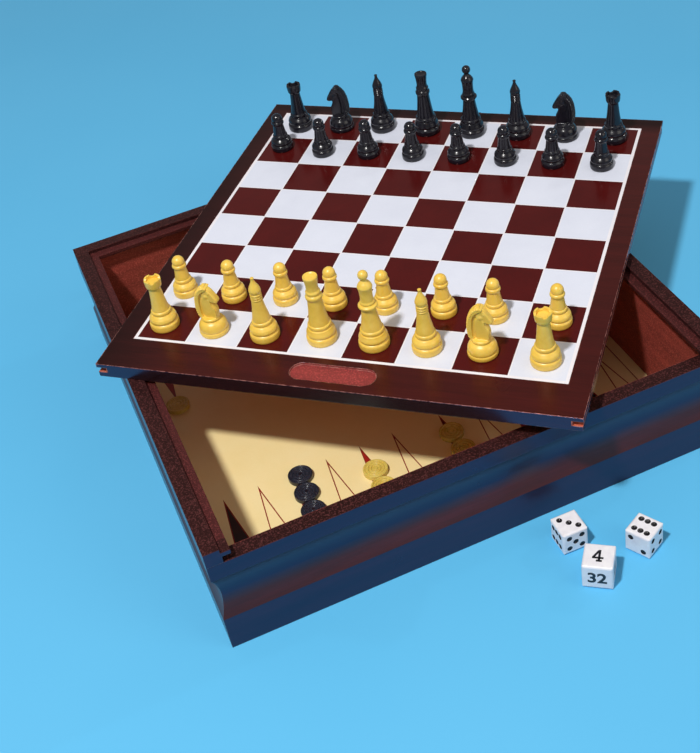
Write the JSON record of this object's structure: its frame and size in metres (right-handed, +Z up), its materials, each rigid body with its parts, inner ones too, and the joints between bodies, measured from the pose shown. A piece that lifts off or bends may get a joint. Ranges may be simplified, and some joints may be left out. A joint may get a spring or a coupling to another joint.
{
  "type": "games compendium box",
  "caption": "Square wooden games tray with moulded sides, a backgammon floor and a loose chequered lid laid askew on top with a chess set, checkers and dice.",
  "frame": {"origin": "centre of the underside of the tray, on the surface it stands on", "axes": "+Z up, -Y towards the lowered front wall of the tray, +X to the right when seen from the front"},
  "size_m": [0.4032, 0.4482, 0.1323],
  "materials": {
    "mahogany": "glossy lacquered dark red-brown wood",
    "lid_wood": "glossy lacquered very dark brown wood",
    "base_board": "plain board",
    "backgammon_print": "printed paper, cream with thin red lines and filled points",
    "chequered_print": "printed and varnished chequered surface, pale and dark brown squares",
    "ivory_plastic": "moulded plastic, polished, cream yellow",
    "black_plastic": "moulded plastic, polished, black",
    "dice_plastic": "moulded plastic, polished, white"
  },
  "bodies": {
    "tray": {"front_wall": "mahogany", "back_wall": "mahogany", "left_wall": "mahogany", "right_wall": "mahogany", "base_panel": "base_board", "backgammon_sheet": "backgammon_print"},
    "lid": {"lid_panel": "lid_wood", "playing_surface": "chequered_print"},
    "white_rook_a1_body": {"white_rook_a1": "ivory_plastic"},
    "white_knight_b1_body": {"white_knight_b1": "ivory_plastic"},
    "white_bishop_c1_body": {"white_bishop_c1": "ivory_plastic"},
    "white_queen_d1_body": {"white_queen_d1": "ivory_plastic"},
    "white_king_e1_body": {"white_king_e1": "ivory_plastic"},
    "white_bishop_f1_body": {"white_bishop_f1": "ivory_plastic"},
    "white_knight_g1_body": {"white_knight_g1": "ivory_plastic"},
    "white_rook_h1_body": {"white_rook_h1": "ivory_plastic"},
    "white_pawn_a2_body": {"white_pawn_a2": "ivory_plastic"},
    "white_pawn_b2_body": {"white_pawn_b2": "ivory_plastic"},
    "white_pawn_c2_body": {"white_pawn_c2": "ivory_plastic"},
    "white_pawn_d2_body": {"white_pawn_d2": "ivory_plastic"},
    "white_pawn_e2_body": {"white_pawn_e2": "ivory_plastic"},
    "white_pawn_f2_body": {"white_pawn_f2": "ivory_plastic"},
    "white_pawn_g2_body": {"white_pawn_g2": "ivory_plastic"},
    "white_pawn_h2_body": {"white_pawn_h2": "ivory_plastic"},
    "black_pawn_a7_body": {"black_pawn_a7": "black_plastic"},
    "black_pawn_b7_body": {"black_pawn_b7": "black_plastic"},
    "black_pawn_c7_body": {"black_pawn_c7": "black_plastic"},
    "black_pawn_d7_body": {"black_pawn_d7": "black_plastic"},
    "black_pawn_e7_body": {"black_pawn_e7": "black_plastic"},
    "black_pawn_f7_body": {"black_pawn_f7": "black_plastic"},
    "black_pawn_g7_body": {"black_pawn_g7": "black_plastic"},
    "black_pawn_h7_body": {"black_pawn_h7": "black_plastic"},
    "black_rook_a8_body": {"black_rook_a8": "black_plastic"},
    "black_knight_b8_body": {"black_knight_b8": "black_plastic"},
    "black_bishop_c8_body": {"black_bishop_c8": "black_plastic"},
    "black_queen_d8_body": {"black_queen_d8": "black_plastic"},
    "black_king_e8_body": {"black_king_e8": "black_plastic"},
    "black_bishop_f8_body": {"black_bishop_f8": "black_plastic"},
    "black_knight_g8_body": {"black_knight_g8": "black_plastic"},
    "black_rook_h8_body": {"black_rook_h8": "black_plastic"},
    "black_checker_1_body": {"black_checker_1": "black_plastic"},
    "black_checker_2_body": {"black_checker_2": "black_plastic"},
    "black_checker_3_body": {"black_checker_3": "black_plastic"},
    "yellow_checker_1_body": {"yellow_checker_1": "ivory_plastic"},
    "yellow_checker_2_body": {"yellow_checker_2": "ivory_plastic"},
    "yellow_checker_3_body": {"yellow_checker_3": "ivory_plastic"},
    "yellow_checker_4_body": {"yellow_checker_4": "ivory_plastic"},
    "yellow_checker_5_body": {"yellow_checker_5": "ivory_plastic"},
    "die_1_body": {"die_1": "dice_plastic"},
    "die_2_body": {"die_2": "dice_plastic"},
    "doubling_cube_body": {"doubling_cube": "dice_plastic"}
  },
  "joints": [
    {"name": "lid_lift", "type": "slide", "parent": "tray", "child": "lid", "axis": [0, 0, 1], "range_m": [0, 0.12]},
    {"name": "white_rook_a1_lift", "type": "slide", "parent": "lid", "child": "white_rook_a1_body", "axis": [0, 0, 1], "range_m": [0, 0.06]},
    {"name": "white_knight_b1_lift", "type": "slide", "parent": "lid", "child": "white_knight_b1_body", "axis": [0, 0, 1], "range_m": [0, 0.06]},
    {"name": "white_bishop_c1_lift", "type": "slide", "parent": "lid", "child": "white_bishop_c1_body", "axis": [0, 0, 1], "range_m": [0, 0.06]},
    {"name": "white_queen_d1_lift", "type": "slide", "parent": "lid", "child": "white_queen_d1_body", "axis": [0, 0, 1], "range_m": [0, 0.06]},
    {"name": "white_king_e1_lift", "type": "slide", "parent": "lid", "child": "white_king_e1_body", "axis": [0, 0, 1], "range_m": [0, 0.06]},
    {"name": "white_bishop_f1_lift", "type": "slide", "parent": "lid", "child": "white_bishop_f1_body", "axis": [0, 0, 1], "range_m": [0, 0.06]},
    {"name": "white_knight_g1_lift", "type": "slide", "parent": "lid", "child": "white_knight_g1_body", "axis": [0, 0, 1], "range_m": [0, 0.06]},
    {"name": "white_rook_h1_lift", "type": "slide", "parent": "lid", "child": "white_rook_h1_body", "axis": [0, 0, 1], "range_m": [0, 0.06]},
    {"name": "white_pawn_a2_lift", "type": "slide", "parent": "lid", "child": "white_pawn_a2_body", "axis": [0, 0, 1], "range_m": [0, 0.06]},
    {"name": "white_pawn_b2_lift", "type": "slide", "parent": "lid", "child": "white_pawn_b2_body", "axis": [0, 0, 1], "range_m": [0, 0.06]},
    {"name": "white_pawn_c2_lift", "type": "slide", "parent": "lid", "child": "white_pawn_c2_body", "axis": [0, 0, 1], "range_m": [0, 0.06]},
    {"name": "white_pawn_d2_lift", "type": "slide", "parent": "lid", "child": "white_pawn_d2_body", "axis": [0, 0, 1], "range_m": [0, 0.06]},
    {"name": "white_pawn_e2_lift", "type": "slide", "parent": "lid", "child": "white_pawn_e2_body", "axis": [0, 0, 1], "range_m": [0, 0.06]},
    {"name": "white_pawn_f2_lift", "type": "slide", "parent": "lid", "child": "white_pawn_f2_body", "axis": [0, 0, 1], "range_m": [0, 0.06]},
    {"name": "white_pawn_g2_lift", "type": "slide", "parent": "lid", "child": "white_pawn_g2_body", "axis": [0, 0, 1], "range_m": [0, 0.06]},
    {"name": "white_pawn_h2_lift", "type": "slide", "parent": "lid", "child": "white_pawn_h2_body", "axis": [0, 0, 1], "range_m": [0, 0.06]},
    {"name": "black_pawn_a7_lift", "type": "slide", "parent": "lid", "child": "black_pawn_a7_body", "axis": [0, 0, 1], "range_m": [0, 0.06]},
    {"name": "black_pawn_b7_lift", "type": "slide", "parent": "lid", "child": "black_pawn_b7_body", "axis": [0, 0, 1], "range_m": [0, 0.06]},
    {"name": "black_pawn_c7_lift", "type": "slide", "parent": "lid", "child": "black_pawn_c7_body", "axis": [0, 0, 1], "range_m": [0, 0.06]},
    {"name": "black_pawn_d7_lift", "type": "slide", "parent": "lid", "child": "black_pawn_d7_body", "axis": [0, 0, 1], "range_m": [0, 0.06]},
    {"name": "black_pawn_e7_lift", "type": "slide", "parent": "lid", "child": "black_pawn_e7_body", "axis": [0, 0, 1], "range_m": [0, 0.06]},
    {"name": "black_pawn_f7_lift", "type": "slide", "parent": "lid", "child": "black_pawn_f7_body", "axis": [0, 0, 1], "range_m": [0, 0.06]},
    {"name": "black_pawn_g7_lift", "type": "slide", "parent": "lid", "child": "black_pawn_g7_body", "axis": [0, 0, 1], "range_m": [0, 0.06]},
    {"name": "black_pawn_h7_lift", "type": "slide", "parent": "lid", "child": "black_pawn_h7_body", "axis": [0, 0, 1], "range_m": [0, 0.06]},
    {"name": "black_rook_a8_lift", "type": "slide", "parent": "lid", "child": "black_rook_a8_body", "axis": [0, 0, 1], "range_m": [0, 0.06]},
    {"name": "black_knight_b8_lift", "type": "slide", "parent": "lid", "child": "black_knight_b8_body", "axis": [0, 0, 1], "range_m": [0, 0.06]},
    {"name": "black_bishop_c8_lift", "type": "slide", "parent": "lid", "child": "black_bishop_c8_body", "axis": [0, 0, 1], "range_m": [0, 0.06]},
    {"name": "black_queen_d8_lift", "type": "slide", "parent": "lid", "child": "black_queen_d8_body", "axis": [0, 0, 1], "range_m": [0, 0.06]},
    {"name": "black_king_e8_lift", "type": "slide", "parent": "lid", "child": "black_king_e8_body", "axis": [0, 0, 1], "range_m": [0, 0.06]},
    {"name": "black_bishop_f8_lift", "type": "slide", "parent": "lid", "child": "black_bishop_f8_body", "axis": [0, 0, 1], "range_m": [0, 0.06]},
    {"name": "black_knight_g8_lift", "type": "slide", "parent": "lid", "child": "black_knight_g8_body", "axis": [0, 0, 1], "range_m": [0, 0.06]},
    {"name": "black_rook_h8_lift", "type": "slide", "parent": "lid", "child": "black_rook_h8_body", "axis": [0, 0, 1], "range_m": [0, 0.06]},
    {"name": "black_checker_1_lift", "type": "slide", "parent": "tray", "child": "black_checker_1_body", "axis": [0, 0, 1], "range_m": [0, 0.04]},
    {"name": "black_checker_2_lift", "type": "slide", "parent": "tray", "child": "black_checker_2_body", "axis": [0, 0, 1], "range_m": [0, 0.04]},
    {"name": "black_checker_3_lift", "type": "slide", "parent": "tray", "child": "black_checker_3_body", "axis": [0, 0, 1], "range_m": [0, 0.04]},
    {"name": "yellow_checker_1_lift", "type": "slide", "parent": "tray", "child": "yellow_checker_1_body", "axis": [0, 0, 1], "range_m": [0, 0.04]},
    {"name": "yellow_checker_2_lift", "type": "slide", "parent": "tray", "child": "yellow_checker_2_body", "axis": [0, 0, 1], "range_m": [0, 0.04]},
    {"name": "yellow_checker_3_lift", "type": "slide", "parent": "tray", "child": "yellow_checker_3_body", "axis": [0, 0, 1], "range_m": [0, 0.04]},
    {"name": "yellow_checker_4_lift", "type": "slide", "parent": "tray", "child": "yellow_checker_4_body", "axis": [0, 0, 1], "range_m": [0, 0.04]},
    {"name": "yellow_checker_5_lift", "type": "slide", "parent": "tray", "child": "yellow_checker_5_body", "axis": [0, 0, 1], "range_m": [0, 0.04]},
    {"name": "die_1_lift", "type": "slide", "parent": "tray", "child": "die_1_body", "axis": [0, 0, 1], "range_m": [0, 0.06]},
    {"name": "die_2_lift", "type": "slide", "parent": "tray", "child": "die_2_body", "axis": [0, 0, 1], "range_m": [0, 0.06]},
    {"name": "doubling_cube_lift", "type": "slide", "parent": "tray", "child": "doubling_cube_body", "axis": [0, 0, 1], "range_m": [0, 0.06]}
  ]
}
